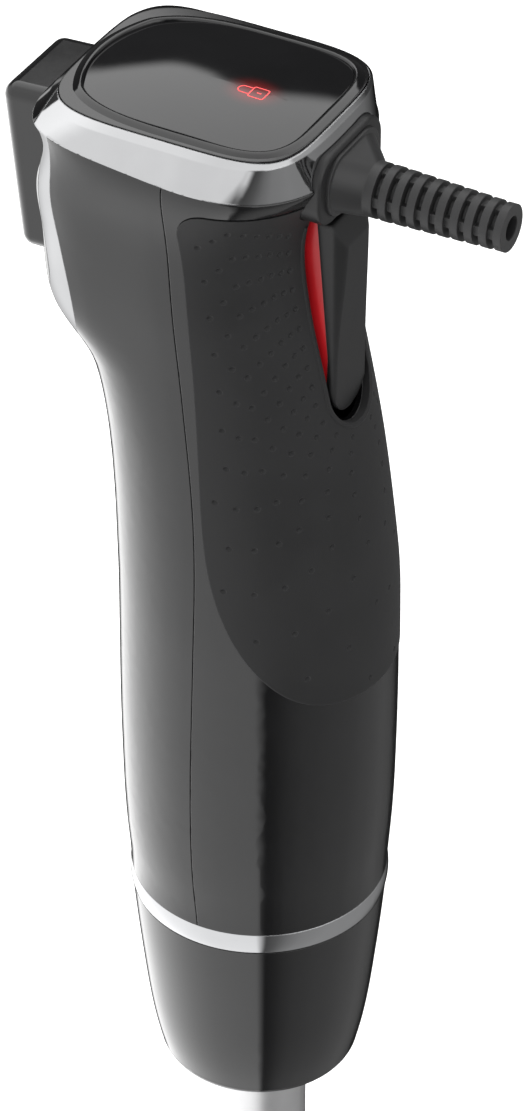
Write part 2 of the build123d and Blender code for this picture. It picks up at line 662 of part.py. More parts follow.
FAN_BLADES = 9
with BuildPart() as cooling_fan:
    ring(6.5, SHAFT_R + FIT, up(26), up(35))
    ring(20.0, 6.4, up(33.8), up(35))
    with BuildSketch(Plane.XY.offset(up(26.5))):
        with PolarLocations(13.0, FAN_BLADES):
            Rectangle(13.4, 1.2, rotation=18)
    extrude(amount=7.5)

DOG_R, DOG_LOBE_R = 5.0, 7.0
CUP_R = 9.6
with BuildPart() as drive_dog:
    disc(DOG_R, up(0.5), up(9))
    with BuildSketch(Plane.XY.offset(up(0.5))):
        Rectangle(2 * DOG_LOBE_R, 3.0)
        Rectangle(3.0, 2 * DOG_LOBE_R)
    extrude(amount=8.5)
    disc(SHAFT_R + FIT, up(SHAFT_LOW_H), up(9), mode=Mode.SUBTRACT)

with BuildPart() as drive_cup:
    disc(CUP_R, up(-9), up(6))
    disc(DOG_R + 0.4, up(-0.3), up(6), mode=Mode.SUBTRACT)
    with BuildSketch(Plane.XY.offset(up(-0.3))):
        Rectangle(2 * DOG_LOBE_R + 0.8, 3.8)
        Rectangle(3.8, 2 * DOG_LOBE_R + 0.8)
    extrude(amount=7, mode=Mode.SUBTRACT)
    disc(DRIVE_R + FIT, up(-9), up(-2), mode=Mode.SUBTRACT)

# ---- Bayonet joint between the housing and the arm ----------------------------------------------------
LUG_LOW_H, LUG_HIGH_H = 3.0, 6.0
RING_H = 5.0
with BuildPart() as chrome_ring:
    with BuildSketch(Plane.XZ):
        with BuildLine():
            outer = ThreePointArc((28.4, up(-RING_H)), (28.75, up(-RING_H / 2)), (28.5, up(0)))
            Polyline(outer @ 1, (SOCKET_R + 0.1, up(0)), (SOCKET_R + 0.1, up(-RING_H)), outer @ 0)
        make_face()
    revolve(axis=Axis.Z)

with BuildPart() as bayonet_socket:
    ring(SOCKET_R, SOCKET_BORE_R, up(-4.8), up(8.6))
    ring(SOCKET_R, 11.0, up(8.6), up(10.2))
    for angle in LUG_ANGLES:
        first, last = angle - LUG_HALF_ANGLE - 1, angle + TWIST + LUG_HALF_ANGLE + 1
        entry = last - 2 * LUG_HALF_ANGLE - 2
        groove_low, groove_high = up(LUG_LOW_H - 0.4), up(LUG_HIGH_H + 0.4)
        sector(GROOVE_R, SOCKET_BORE_R - 1, groove_low, groove_high, first, last, Mode.SUBTRACT)
        sector(GROOVE_R, SOCKET_BORE_R - 1, up(-6), groove_high, entry, last, Mode.SUBTRACT)
    round_bars(SCREW_R + FIT, SCREW_CIRCLE_R, SCREW_ANGLES, up(-5), up(11), Mode.SUBTRACT)
    round_bars(2.0, SCREW_CIRCLE_R, SCREW_ANGLES, up(-5), up(4), Mode.SUBTRACT)

with BuildPart() as socket_screws:
    round_bars(1.9, SCREW_CIRCLE_R, SCREW_ANGLES, up(2.4), up(4))
    round_bars(SCREW_R, SCREW_CIRCLE_R, SCREW_ANGLES, up(4), up(12.6))

# ---- Blending arm -------------------------------------------------------------------------------------
NOSE_TOP_H = -5.35
NOSE_BOTTOM_H = -53.7
NOSE_SIDE = [(28.3, NOSE_TOP_H), (27.5, -14.4), (26.0, -29.0), (23.9, -44.6), (22.5, -51.2)]
NOSE_WALL = 2.2
with BuildPart() as nose_cone:
    with BuildSketch(Plane.XZ):
        with BuildLine():
            side = Spline([(r, up(h)) for r, h in NOSE_SIDE])
            toe = ThreePointArc(side @ 1, (21.7, up(-52.9)), (20.0, up(NOSE_BOTTOM_H)))
            throat_r, floor_z = TUBE_R + 0.25, up(NOSE_BOTTOM_H + 2.9)
            throat = Polyline(toe @ 1, (throat_r, up(NOSE_BOTTOM_H)), (throat_r, floor_z), (19.6, floor_z))
            wall = Spline([(r - NOSE_WALL, up(h)) for r, h in reversed(NOSE_SIDE[:-1])])
            Line(throat @ 1, wall @ 0)
            Line(wall @ 1, side @ 0)
        make_face()
    revolve(axis=Axis.Z)

with BuildPart() as arm_hub:
    outside = [(17.5, 8), (COLLAR_R, 8), (COLLAR_R, -5), (25.4, -6), (25.2, -9), (COLLAR_R, -11), (14.2, -22)]
    inside = [(14.2, -50.5), (TUBE_R + FIT, -50.5), (TUBE_R + FIT, -21), (12.0, -19), (17.5, -11)]
    revolved([(r, up(h)) for r, h in outside + inside])
    for angle in LUG_ANGLES:
        first, last = angle - LUG_HALF_ANGLE, angle + LUG_HALF_ANGLE
        sector(LUG_R, COLLAR_R - 0.5, up(LUG_LOW_H), up(LUG_HIGH_H), first, last)

with BuildPart() as arm_tube:
    ring(TUBE_R, TUBE_BORE_R, TUBE_LOW_Z, TUBE_HIGH_Z)

with BuildPart() as upper_bush:
    ring(TUBE_BORE_R - FIT, DRIVE_R + RUNNING, up(-36), up(-24))

GUARD_ROOF_Z = 36.0
GUARD_OUTSIDE = [(12.4, 46), (14.5, 37), (22.0, 29), (28.6, 19), (30.4, 8)]
GUARD_INSIDE = [(29.2, 8), (27.4, 18.4), (21.0, 28), (13.8, 33.4), (7.7, 34)]
with BuildPart() as blade_guard:
    with BuildSketch(Plane.XZ):
        with BuildLine():
            shoulder = Spline(*GUARD_OUTSIDE, tangents=[(0, -1), (0, -1)])
            rim_inside = (GUARD_RIM_R - GUARD_WALL, 0)
            outer_rim = Polyline(shoulder @ 1, (GUARD_RIM_R, 2), (GUARD_RIM_R, 0), rim_inside)
            inside = Spline(*GUARD_INSIDE, tangents=[(0, 1), (-1, 0)])
            Line(outer_rim @ 1, inside @ 0)
            Polyline(inside @ 1, (7.7, 24), (6.1, 24), (6.1, GUARD_ROOF_Z), (TUBE_R + FIT, GUARD_ROOF_Z),
                     (TUBE_R + FIT, 52), (11.6, 52), shoulder @ 0)
        make_face()
    revolve(axis=Axis.Z)
    for plane in (Plane.YZ, Plane.XZ):
        with BuildSketch(plane):
            with Locations((0, 10)):
                SlotOverall(17.0, 9.0)
        extrude(amount=REACH, both=True, mode=Mode.SUBTRACT)

with BuildPart() as lower_bush:
    ring(6.1 - FIT, DRIVE_R + RUNNING, 27.0, 44.0)
    ring(8.4, 6.0, 36.0 + FIT, 40.0)

with BuildPart() as shaft_seal:
    ring(6.0, DRIVE_R + RUNNING, 24.0, 26.9)

with BuildPart() as drive_shaft:
    disc(DRIVE_R, 8.2, up(-2.2))
    chamfer(edges().filter_by(GeomType.CIRCLE), 0.4)

BLADE_THICK = 1.5
BLADE_HALF_PLAN = [(-23, 4.2), (-8, 5.4), (5, 5.2), (23, -0.6)]
BLADE_LINE = [(-23.0, 20.0), (-8.0, 13.0), (8.0, 13.0), (23.0, 9.4)]
with BuildPart() as blade:
    with BuildSketch(Plane.XZ):
        with BuildLine():
            upper = [(x, z + BLADE_THICK) for x, z in reversed(BLADE_LINE)]
            Polyline(*BLADE_LINE, *upper, close=True)
        make_face()
    extrude(amount=12, both=True)
    with BuildSketch(Plane.XY):
        Circle(6.2)
        with BuildLine():
            Polyline(*BLADE_HALF_PLAN, *[(-x, -y) for x, y in BLADE_HALF_PLAN], close=True)
        make_face()
    extrude(amount=40, mode=Mode.INTERSECT)
    disc(DRIVE_R + FIT, 0, 30, mode=Mode.SUBTRACT)

with BuildPart() as blade_nut:
    disc(5.0, 6.0, 13.0 - FIT)
    fillet(edges().group_by(Axis.Z)[0], 1.6)
    disc(DRIVE_R + FIT, 8.0, 14, mode=Mode.SUBTRACT)

with BuildPart() as blade_spacer:
    ring(4.6, DRIVE_R + FIT, 13.0 + BLADE_THICK + FIT, 23.6)

# ---- Write every piece --------------------------------------------------------------------------------
PIECES = {
    "front_shell": front_shell,
    "rear_shell": rear_shell,
    "grip_overmould": grip_overmould,
    "chrome_bezel": chrome_bezel,
    "top_frame": top_frame,
    "display_lens": display_lens,
    "rear_hood": rear_hood,
    "rear_pod": rear_pod,
    "cord_exit_collar": cord_exit_collar,
    "strain_relief": strain_relief,
    "cord_clamp": cord_clamp,
    "trigger_cap": trigger_cap,
    "trigger_lever": trigger_lever,
    "trigger_pin": trigger_pin,
    "return_spring": return_spring,
    "switch_body": switch_body,
    "switch_plunger": switch_plunger,
    "lock_light_board": lock_light_board,
    "light_guide": light_guide,
    "control_board": control_board,
    "heat_sink": heat_sink,
    "capacitor": capacitor,
    "stator_core": stator_core,
    "field_coil_front": field_coil_front,
    "field_coil_rear": field_coil_rear,
    "lower_bracket": lower_bracket,
    "lower_bearing": lower_bearing,
    "upper_bracket": upper_bracket,
    "upper_bearing": upper_bearing,
    "motor_bolts": motor_bolts,
    "lower_mount": lower_mount,
    "upper_mount": upper_mount,
    "brush_holder_left": brush_holder_left,
    "brush_holder_right": brush_holder_right,
    "brush_left": brush_left,
    "brush_right": brush_right,
    "motor_shaft": motor_shaft,
    "armature_core": armature_core,
    "armature_windings": armature_windings,
    "commutator": commutator,
    "cooling_fan": cooling_fan,
    "drive_dog": drive_dog,
    "drive_cup": drive_cup,
    "chrome_ring": chrome_ring,
    "bayonet_socket": bayonet_socket,
    "socket_screws": socket_screws,
    "nose_cone": nose_cone,
    "arm_hub": arm_hub,
    "arm_tube": arm_tube,
    "upper_bush": upper_bush,
    "blade_guard": blade_guard,
    "lower_bush": lower_bush,
    "shaft_seal": shaft_seal,
    "drive_shaft": drive_shaft,
    "blade": blade,
    "blade_nut": blade_nut,
    "blade_spacer": blade_spacer,
}
for name, piece in PIECES.items():
    piece.part.label = name
    export_step(piece.part, f"parts/{name}.step")
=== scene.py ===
import bpy
import bmesh
from math import cos, pi, radians, sin, sqrt
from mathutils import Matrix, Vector
from mathutils.bvhtree import BVHTree
from mathutils.kdtree import KDTree


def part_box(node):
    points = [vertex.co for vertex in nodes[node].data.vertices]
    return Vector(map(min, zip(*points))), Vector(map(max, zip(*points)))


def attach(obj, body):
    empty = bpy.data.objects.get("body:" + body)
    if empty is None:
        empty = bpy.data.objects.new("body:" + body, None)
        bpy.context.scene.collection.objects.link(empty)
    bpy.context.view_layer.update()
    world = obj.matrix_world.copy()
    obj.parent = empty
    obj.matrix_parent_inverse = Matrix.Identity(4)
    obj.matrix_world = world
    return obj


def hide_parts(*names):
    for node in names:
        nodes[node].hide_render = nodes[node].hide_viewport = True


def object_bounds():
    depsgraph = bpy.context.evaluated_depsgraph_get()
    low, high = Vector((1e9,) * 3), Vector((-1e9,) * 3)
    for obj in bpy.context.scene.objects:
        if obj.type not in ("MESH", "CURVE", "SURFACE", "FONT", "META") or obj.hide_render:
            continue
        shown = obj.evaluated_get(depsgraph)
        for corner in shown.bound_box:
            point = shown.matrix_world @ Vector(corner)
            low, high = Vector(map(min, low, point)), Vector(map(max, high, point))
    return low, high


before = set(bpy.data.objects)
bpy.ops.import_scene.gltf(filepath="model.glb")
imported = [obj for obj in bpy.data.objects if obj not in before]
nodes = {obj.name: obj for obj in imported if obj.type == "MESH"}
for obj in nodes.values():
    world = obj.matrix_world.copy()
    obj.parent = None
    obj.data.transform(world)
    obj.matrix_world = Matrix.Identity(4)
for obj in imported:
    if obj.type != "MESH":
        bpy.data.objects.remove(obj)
cad_low, cad_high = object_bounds()
MM = 0.001
scene = bpy.context.scene

# ---- Camera --------------------------------------------------------------------------------------
CAMERA_AZIMUTH, CAMERA_ELEVATION = radians(28.5), radians(37.1)
CAMERA_PLACE = (0.4056, -0.7452, 0.9382)
LENS_LENGTH, SENSOR_WIDTH = 162.0, 36.0
near_side = Vector((sin(CAMERA_AZIMUTH), -cos(CAMERA_AZIMUTH), 0))
right_side = Vector((cos(CAMERA_AZIMUTH), sin(CAMERA_AZIMUTH), 0))
back = near_side * cos(CAMERA_ELEVATION) + Vector((0, 0, sin(CAMERA_ELEVATION)))
camera = bpy.data.objects.new("camera", bpy.data.cameras.new("camera"))
scene.collection.objects.link(camera)
camera.location = CAMERA_PLACE
camera.rotation_mode = "QUATERNION"
camera.rotation_quaternion = (-back).to_track_quat("-Z", "Y")
camera.data.lens = LENS_LENGTH
camera.data.sensor_width = SENSOR_WIDTH
scene.camera = camera
scene.view_settings.view_transform = "Standard"


# ---- Node helpers --------------------------------------------------------------------------------
BRIGHTEST = 3.0


class Tree:
    """Short way to add nodes to a material or to the world and to join them."""

    def __init__(self, tree):
        self.tree = tree
        tree.nodes.clear()

    def add(self, kind, settings=None, **inputs):
        node = self.tree.nodes.new(kind)
        for key, value in (settings or {}).items():
            setattr(node, key, value)
        for key, value in inputs.items():
            self.set(node, key, value)
        return node

    def set(self, node, key, value):
        """Joins a socket to an input or sets its value. The key is i and a number, or a name."""
        numbered = key[0] == "i" and key[1:].isdigit()
        socket = node.inputs[int(key[1:])] if numbered else node.inputs[key.replace("_", " ")]
        if isinstance(value, bpy.types.NodeSocket):
            self.tree.links.new(value, socket)
        else:
            socket.default_value = value

    def math(self, operation, first, second=0.0):
        return self.add("ShaderNodeMath", {"operation": operation}, i0=first, i1=second).outputs[0]

    def vector(self, operation, first, second=(0, 0, 0), output="Vector"):
        node = self.add("ShaderNodeVectorMath", {"operation": operation}, i0=first, i1=second)
        return node.outputs[output]

    def noise(self, place, scale, detail, roughness=0.5):
        node = self.add("ShaderNodeTexNoise", {}, Vector=place, Scale=scale, Detail=detail,
                        Roughness=roughness)
        return node.outputs[0]

    def span(self, value, from_low, from_high, to_low, to_high):
        """Smooth step from one range to another."""
        node = self.add("ShaderNodeMapRange", {"interpolation_type": "SMOOTHSTEP"}, i0=value,
                        i1=from_low, i2=from_high, i3=to_low, i4=to_high)
        return node.outputs[0]

    def blend(self, factor, first, second):
        node = self.add("ShaderNodeMix", {"data_type": "RGBA"}, i0=factor, i6=first, i7=second)
        return node.outputs[2]

    def ramp(self, value, stops):
        """Levels round the circle, from a share of the circle and (degrees, level) stops."""
        node = self.add("ShaderNodeValToRGB", {}, i0=value)
        elements = node.color_ramp.elements
        while len(elements) < len(stops):
            elements.new(0.5)
        for element, (angle, level) in zip(elements, stops):
            element.position = 0.5 + angle / 360
            share = level / BRIGHTEST
            element.color = (share, share, share, 1)
        return self.math("MULTIPLY", node.outputs[0], BRIGHTEST)


# ---- Finishes ------------------------------------------------------------------------------------
# Grain is the fine noise and patches are the slow one, and most noise lies between NOISE_LOW and
# NOISE_HIGH. A corner is where the bevelled normal turns away from the true one: SHARP_CORNER and
# FLAT_CORNER are the cosines between which it fades. Rubbed corners are lighter and less glossy.
GRAIN_DETAIL, GRAIN_ROUGHNESS, BEVEL_SAMPLES = 4.0, 0.6, 4
PATCH_SCALE, PATCH_DETAIL = 70.0, 3.0
NOISE_LOW, NOISE_HIGH = 0.3, 0.7
PATCH_SHARE, GRAIN_SHARE = 0.6, 0.4
SHARP_CORNER, FLAT_CORNER = 0.84, 0.985
RUB_LOW, RUB_HIGH, RUB_LEAST = 0.35, 0.7, 0.3
WORN_TONE, WORN_SHARE, WORN_ROUGHER = 0.6, 0.35, 0.15
PIT_SCALE, PIT_DEPTH, PIT_SOFTNESS = 0.6, 0.7, 0.5
LEAST_ROUGH, COAT_ROUGH, SHEEN_ROUGH = 0.02, 0.04, 0.4
HALO_START, HALO_STRETCH = 0.0015, (1, 1.3, 0)


def new_material(name):
    material = bpy.data.materials.new(name)
    material.use_nodes = True
    return material, Tree(material.node_tree)


def finish_material(name, colour, rough, metal=0.0, grain=2500.0, bump=0.05, depth=0.00002,
                    stretch=(1, 1, 1), rough_swing=0.04, tint=0.15, edge=0.00025, wear=0.25, ior=1.5,
                    coat=0.0, sheen=0.0, turned=0.0, glow=None, pitted=False, rim_tint=1.0):
    """Procedural finish: fine grain, slow changes of gloss and tone, and rubbed edges."""
    material, tree = new_material("finish_" + name)
    place = tree.add("ShaderNodeTexCoord").outputs["Object"]
    stretched = tree.add("ShaderNodeMapping", {}, Vector=place, Scale=stretch).outputs[0]
    fine = tree.noise(stretched, grain, GRAIN_DETAIL, GRAIN_ROUGHNESS)
    slow = tree.noise(place, PATCH_SCALE, PATCH_DETAIL)
    height = fine
    if pitted:
        cells = tree.add("ShaderNodeTexVoronoi", {"feature": "SMOOTH_F1"}, Vector=stretched,
                         Scale=grain * PIT_SCALE, Smoothness=PIT_SOFTNESS).outputs[0]
        height = tree.math("ADD", tree.math("MULTIPLY", cells, PIT_DEPTH), fine)
    rounded = tree.add("ShaderNodeBevel", {"samples": BEVEL_SAMPLES}, Radius=edge).outputs[0]
    flat = tree.add("ShaderNodeNewGeometry").outputs["Normal"]
    facing = tree.vector("DOT_PRODUCT", rounded, flat, "Value")
    corner = tree.span(facing, SHARP_CORNER, FLAT_CORNER, 1.0, 0.0)
    rubbed = tree.math("MULTIPLY", corner, tree.span(fine, RUB_LOW, RUB_HIGH, RUB_LEAST * wear, wear))
    light = tuple(min(1.0, c * (1 + tint)) for c in colour) + (1,)
    dark = tuple(c * (1 - tint) for c in colour) + (1,)
    worn = tuple(min(1.0, c + (WORN_TONE - c) * WORN_SHARE) for c in colour) + (1,)
    tone = tree.blend(tree.span(slow, NOISE_LOW, NOISE_HIGH, 0.0, 1.0), dark, light)
    tone = tree.blend(rubbed, tone, worn)
    slow_part = tree.math("MULTIPLY", slow, PATCH_SHARE)
    mixed = tree.math("ADD", slow_part, tree.math("MULTIPLY", fine, GRAIN_SHARE))
    smoothest = max(LEAST_ROUGH, rough - rough_swing)
    gloss = tree.span(mixed, NOISE_LOW, NOISE_HIGH, smoothest, rough + rough_swing)
    gloss = tree.math("ADD", gloss, tree.math("MULTIPLY", rubbed, WORN_ROUGHER))
    relief = tree.add("ShaderNodeBump", {}, Strength=bump, Distance=depth, Height=height,
                      Normal=rounded)
    shader = tree.add("ShaderNodeBsdfPrincipled", {}, Base_Color=tone, Roughness=gloss, Metallic=metal,
                      IOR=ior, Normal=relief.outputs[0], Coat_Weight=coat, Coat_Roughness=COAT_ROUGH,
                      Sheen_Weight=sheen, Sheen_Roughness=SHEEN_ROUGH, Anisotropic=turned)
    shader.inputs["Specular Tint"].default_value = (rim_tint, rim_tint, rim_tint, 1)
    if turned:
        radial = tree.add("ShaderNodeTangent", {"direction_type": "RADIAL", "axis": "Z"})
        tree.set(shader, "Tangent", radial.outputs[0])
    if glow:
        centre, reach, hue, power = glow
        plan = tree.vector("MULTIPLY", tree.vector("SUBTRACT", place, centre), HALO_STRETCH)
        away = tree.vector("LENGTH", plan, output="Value")
        halo = tree.math("POWER", tree.span(away, HALO_START, reach, 1.0, 0.0), 2.0)
        shader.inputs["Emission Color"].default_value = hue
        tree.set(shader, "Emission_Strength", tree.math("MULTIPLY", halo, power))
    tree.set(tree.add("ShaderNodeOutputMaterial"), "Surface", shader.outputs[0])
    return material


def light_material(name, hue, power):
    """Lit paint, a little uneven."""
    material, tree = new_material("finish_" + name)
    place = tree.add("ShaderNodeTexCoord").outputs["Object"]
    noise = tree.noise(place, 900.0, 2.0)
    gloss = tree.span(noise, 0, 1, 0.2, 0.35)
    shader = tree.add("ShaderNodeBsdfPrincipled", {}, Base_Color=hue, Roughness=gloss)
    shader.inputs["Emission Color"].default_value = hue
    tree.set(shader, "Emission_Strength", tree.span(noise, 0.2, 0.8, power * 0.85, power))
    tree.set(tree.add("ShaderNodeOutputMaterial"), "Surface", shader.outputs[0])
    return material


ICON_CENTRE = (-0.8 * MM, -0.9 * MM, 0.0)
HALO_REACH, HALO_POWER = 0.009, 0.16
GLOW_RED = (1.0, 0.03, 0.03, 1)
LENGTHWISE, AROUND = (1, 1, 0.03), (0.05, 0.05, 1)
FINISHES = {
    "shell_gloss": dict(colour=(0.0035, 0.0035, 0.0038), rough=0.085, rough_swing=0.015, bump=0.02,
                        grain=900.0),
    "frame_gloss": dict(colour=(0.003, 0.003, 0.0033), rough=0.06, rough_swing=0.015, bump=0.015,
                        grain=900.0),
    "lens_gloss": dict(colour=(0.004, 0.004, 0.0045), rough=0.045, rough_swing=0.01, bump=0.01,
                       grain=700.0, glow=(ICON_CENTRE, HALO_REACH, GLOW_RED, HALO_POWER)),
    "grip_soft": dict(colour=(0.011, 0.011, 0.0114), rough=0.58, rough_swing=0.05, bump=0.35,
                      depth=0.00004, grain=5200.0, pitted=True, sheen=0.02, tint=0.1, wear=0.12,
                      edge=0.0003, ior=1.33),
    "trim_chrome": dict(colour=(0.36, 0.362, 0.367), rough=0.05, metal=1.0, rough_swing=0.02,
                        bump=0.01, grain=600.0, tint=0.03, edge=0.0004, wear=0.1, rim_tint=0.42),
    "ring_chrome": dict(colour=(0.42, 0.423, 0.43), rough=0.06, metal=1.0, rough_swing=0.02,
                        bump=0.015, grain=700.0, tint=0.03, edge=0.0003, wear=0.1),
    "collar_matte": dict(colour=(0.011, 0.011, 0.0114), rough=0.42, bump=0.3, depth=0.00003,
                         grain=4200.0, edge=0.0006, ior=1.38),
    "boot_rubber": dict(colour=(0.013, 0.013, 0.0134), rough=0.45, ior=1.42, bump=0.3,
                        depth=0.00003, grain=4600.0, edge=0.00035, wear=0.15, sheen=0.05),
    "trigger_black": dict(colour=(0.009, 0.009, 0.0094), rough=0.36, bump=0.22, depth=0.00003,
                          grain=4800.0, edge=0.0014, wear=0.08, ior=1.36),
    "trigger_red": dict(colour=(0.42, 0.008, 0.012), rough=0.32, bump=0.12, grain=3800.0, tint=0.12,
                        edge=0.0003),
    "steel_pin": dict(colour=(0.55, 0.55, 0.56), rough=0.25, metal=1.0, stretch=AROUND,
                      grain=6000.0),
    "spring_steel": dict(colour=(0.5, 0.5, 0.52), rough=0.28, metal=1.0, grain=5000.0),
    "switch_plastic": dict(colour=(0.10, 0.11, 0.13), rough=0.45, bump=0.2, grain=4000.0),
    "switch_white": dict(colour=(0.72, 0.71, 0.67), rough=0.4, bump=0.15, grain=3500.0, tint=0.05),
    "board": dict(colour=(0.03, 0.16, 0.06), rough=0.3, bump=0.15, grain=1800.0, tint=0.3,
                  coat=0.4),
    "light_guide": dict(colour=(0.7, 0.08, 0.08), rough=0.2, bump=0.05, tint=0.1),
    "sink_aluminium": dict(colour=(0.62, 0.62, 0.64), rough=0.35, metal=1.0, stretch=LENGTHWISE,
                           grain=5000.0),
    "capacitor_case": dict(colour=(0.04, 0.05, 0.14), rough=0.3, bump=0.05, tint=0.1),
    "lamination": dict(colour=(0.22, 0.22, 0.24), rough=0.45, metal=1.0, stretch=AROUND,
                       grain=2600.0, bump=0.5),
    "copper_wire": dict(colour=(0.62, 0.25, 0.10), rough=0.3, metal=1.0, stretch=LENGTHWISE,
                        grain=2200.0, bump=0.6, depth=0.0001),
    "bracket_plastic": dict(colour=(0.05, 0.05, 0.055), rough=0.5, bump=0.25, grain=3600.0),
    "bearing_steel": dict(colour=(0.58, 0.58, 0.6), rough=0.2, metal=1.0, stretch=AROUND,
                          grain=5200.0),
    "mount_rubber": dict(colour=(0.02, 0.02, 0.02), rough=0.65, bump=0.3, grain=4200.0),
    "brush_brass": dict(colour=(0.7, 0.5, 0.22), rough=0.3, metal=1.0, grain=3800.0),
    "carbon": dict(colour=(0.03, 0.03, 0.033), rough=0.6, bump=0.4, grain=5200.0, pitted=True),
    "coupling_plastic": dict(colour=(0.66, 0.65, 0.6), rough=0.42, bump=0.15, grain=3200.0,
                             tint=0.06),
    "socket_plastic": dict(colour=(0.03, 0.03, 0.032), rough=0.42, bump=0.25, grain=3600.0),
    "screw_steel": dict(colour=(0.55, 0.55, 0.55), rough=0.3, metal=1.0, stretch=AROUND,
                        grain=5200.0),
    "arm_steel": dict(colour=(0.60, 0.60, 0.605), rough=0.34, metal=1.0, stretch=AROUND,
                      grain=9000.0, bump=0.1, depth=0.00001, tint=0.05, rough_swing=0.05,
                      edge=0.0003, turned=0.75),
    "bush_bronze": dict(colour=(0.5, 0.33, 0.15), rough=0.4, metal=1.0, pitted=True, grain=5200.0),
    "seal_rubber": dict(colour=(0.02, 0.02, 0.02), rough=0.55, bump=0.3, grain=4200.0),
    "blade_steel": dict(colour=(0.62, 0.62, 0.64), rough=0.16, metal=1.0, stretch=(0.04, 1, 1),
                        grain=8000.0, bump=0.12, depth=0.00001, tint=0.05),
}
materials = {slot: finish_material(slot, **settings) for slot, settings in FINISHES.items()}
for node in nodes.values():
    for place, old in enumerate(node.data.materials):
        node.data.materials[place] = materials[old.name]


# ---- Mesh helpers --------------------------------------------------------------------------------
def surface_tree(name):
    """Search tree over a CAD node's mesh."""
    mesh = nodes[name].data
    corners = [v.co.copy() for v in mesh.vertices]
    return BVHTree.FromPolygons(corners, [tuple(p.vertices) for p in mesh.polygons])


def new_piece(name, vertices, faces, material, smooth=True):
    mesh = bpy.data.meshes.new(name)
    mesh.from_pydata(vertices, [], faces)
    mesh.materials.append(material)
    mesh.polygons.foreach_set("use_smooth", [smooth] * len(mesh.polygons))
    mesh.update()
    piece = bpy.data.objects.new(name, mesh)
    scene.collection.objects.link(piece)
    return piece


TUBE_SIDES = 10
ALONG_X = 1e-6


def tube(path, radius):
    """Vertices and faces of a closed-ended round bar along a path."""
    vertices, faces = [], []
    count = len(path)
    for i, point in enumerate(path):
        ahead = (path[min(i + 1, count - 1)] - path[max(i - 1, 0)]).normalized()
        side = ahead.cross(Vector((1, 0, 0)))
        side = side.normalized() if side.length > ALONG_X else Vector((0, 1, 0))
        rise = side.cross(ahead).normalized()
        for s in range(TUBE_SIDES):
            turn = 2 * pi * s / TUBE_SIDES
            vertices.append(point + radius * (cos(turn) * side + sin(turn) * rise))
    for i in range(count - 1):
        for s in range(TUBE_SIDES):
            a, b = i * TUBE_SIDES + s, i * TUBE_SIDES + (s + 1) % TUBE_SIDES
            faces.append((a, b, b + TUBE_SIDES, a + TUBE_SIDES))
    faces.append(tuple(reversed(range(TUBE_SIDES))))
    faces.append(tuple((count - 1) * TUBE_SIDES + s for s in range(TUBE_SIDES)))
    return vertices, faces


RING_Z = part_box("chrome_ring")[1].z


def up(height_mm):
    """Height in the row frame of a height in millimetres above the chrome ring."""
    return RING_Z + height_mm * MM


# ---- Soft grip with dimples ----------------------------------------------------------------------
# Names ending in _H are heights in millimetres above the chrome ring. Distances across run round the
# grip from its front line. Each row's reach, spacing and drop grow with its number, by three terms.
GRIP_AXIS_X = -5 * MM
GRIP_RADIUS = 27 * MM
RAY_START, RAY_LIMIT = 0.08, 0.062
ARC_CENTRE_H = 137.0
DIMPLE_RADIUS = 0.875 * MM
DIMPLE_LIFT = 0.525 * MM
EDGE_MARGIN = 2.2
ROWS = 11
ROW_REACH = (12.1, 2.45, 0.06)
ROW_SPACING = (4.5, 0.3, 0.045)
ROW_DROP = (13.2, 3.2, 0.38)
ROW_TOP_H, ROW_RISE = 175.7, 1.0
FALL_TOP_H, FALL, FALL_ROW = 180.5, 1.9, 5
ROW_LEAN = 0.115
LOWER_SPREAD = 0.06
LINE_STEP, LINE_STEPS, ARC_STEPS = 0.25, 400, 360
MIRROR_FROM = 1.2
grip_surface = surface_tree("grip_overmould")


def grip_point(across_mm, height_mm):
    """Place and normal on the outside of the grip at a distance across, or None off its edge."""
    turn = across_mm * MM / GRIP_RADIUS
    outward = Vector((cos(turn), sin(turn), 0))
    start = Vector((GRIP_AXIS_X, 0, up(height_mm))) + outward * RAY_START
    place, normal, _, distance = grip_surface.ray_cast(start, -outward)
    if place is None or distance > RAY_LIMIT:
        return None
    return place, (normal if normal.dot(outward) > 0 else -normal)


def on_grip(across_mm, height_mm):
    """True if a dimple there keeps clear of every edge of the grip."""
    near = EDGE_MARGIN
    for shift_across, shift_height in ((near, 0), (-near, 0), (0, near), (0, -near)):
        if grip_point(across_mm + shift_across, height_mm + shift_height) is None:
            return False
    return True


def grown(terms, row):
    start, per_row, per_square = terms
    return start + per_row * row + per_square * row * row


def row_line(row):
    """Fine points along a row: down beside the trigger slot, then round under it."""
    reach, drop = grown(ROW_REACH, row), grown(ROW_DROP, row)
    top = min(ROW_TOP_H + ROW_RISE * row, FALL_TOP_H - FALL * (row - FALL_ROW))
    heights = [top - LINE_STEP * step for step in range(LINE_STEPS)]
    straight = [height for height in heights if height >= ARC_CENTRE_H]
    line = [(reach + ROW_LEAN * (height - ARC_CENTRE_H), height) for height in straight]
    for step in range(ARC_STEPS + 1):
        turn = pi / 2 * step / ARC_STEPS
        line.append((reach * cos(turn), ARC_CENTRE_H - drop * sin(turn)))
    return line


def dimple_places():
    """Places on both sides of the grip, further apart towards the outer rows and lower down."""
    places = []
    for row in range(ROWS):
        spacing = grown(ROW_SPACING, row)
        line = row_line(row)
        travelled, wanted = 0.0, 0.0
        previous = line[0]
        for point in line:
            travelled += sqrt((point[0] - previous[0]) ** 2 + (point[1] - previous[1]) ** 2)
            previous = point
            if travelled >= wanted:
                places.append(point)
                wanted += spacing + LOWER_SPREAD * max(0.0, ARC_CENTRE_H - point[1])
    both = places + [(-across, height) for across, height in places if across > MIRROR_FROM]
    return [p for p in both if on_grip(*p)]


dimple_centres = []
for across, height in dimple_places():
    place, normal = grip_point(across, height)
    dimple_centres.append(place + normal * DIMPLE_LIFT)


SAME_PLACE = 1e-7
BALL_DETAIL = 3


